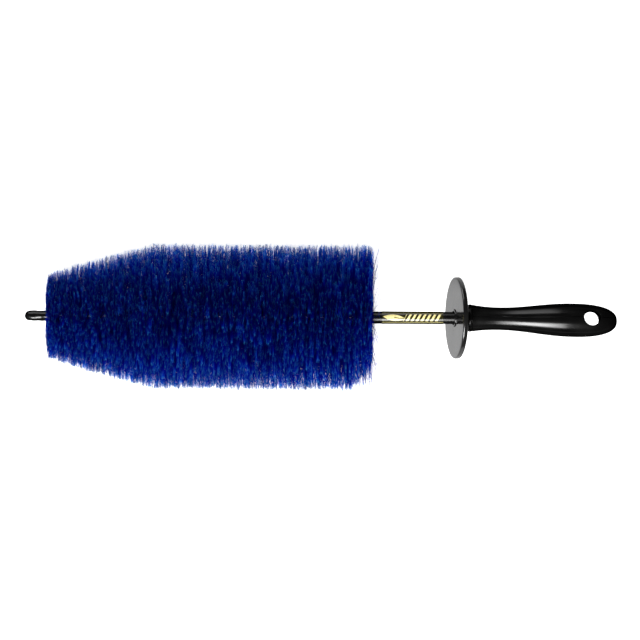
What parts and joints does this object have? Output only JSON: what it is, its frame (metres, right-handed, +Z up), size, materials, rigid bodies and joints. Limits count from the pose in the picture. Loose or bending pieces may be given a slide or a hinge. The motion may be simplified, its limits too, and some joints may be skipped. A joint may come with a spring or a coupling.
{
  "type": "wheel brush",
  "caption": "Hand brush for car wheels: a twisted-wire stem with a tapered round pack of bristles, a sliding splash guard and a shaped handle with a hanging hole.",
  "frame": {"origin": "middle of the box round the brush, at the level of the surface that it lies on", "axes": "+X along the stem from the tip to the handle, +Z up off the surface, +Y across"},
  "size_m": [0.45, 0.105, 0.1038],
  "materials": {
    "tip_cap": "gloss",
    "wire_strand_1": "satin",
    "wire_strand_2": "satin",
    "bristle_pack": "satin",
    "shaft_sleeve": "gloss",
    "shaft_label": "satin",
    "guard_grommet": "satin",
    "guard_disc": "gloss",
    "handle_collar": "gloss",
    "handle_upper_shell": "gloss",
    "handle_lower_shell": "gloss",
    "anchor_ferrule": "satin",
    "anchor_pin": "satin"
  },
  "bodies": {
    "brush": {"tip_cap": "tip_cap", "wire_strand_1": "wire_strand_1", "wire_strand_2": "wire_strand_2", "bristle_pack": "bristle_pack", "shaft_sleeve": "shaft_sleeve", "shaft_label": "shaft_label", "handle_collar": "handle_collar", "handle_upper_shell": "handle_upper_shell", "handle_lower_shell": "handle_lower_shell", "anchor_ferrule": "anchor_ferrule", "anchor_pin": "anchor_pin"},
    "guard_carrier": {"guard_grommet": "guard_grommet"},
    "guard": {"guard_disc": "guard_disc"}
  },
  "joints": [
    {"name": "guard_slide", "type": "slide", "parent": "brush", "child": "guard_carrier", "axis": [1, 0, 0], "range_m": [-0.045, 0.004]},
    {"name": "guard_spin", "type": "hinge", "parent": "guard_carrier", "child": "guard", "pos_m": [0.1032, 0, 0.0513], "axis": [0.981, 0, -0.1942], "continuous": true}
  ]
}
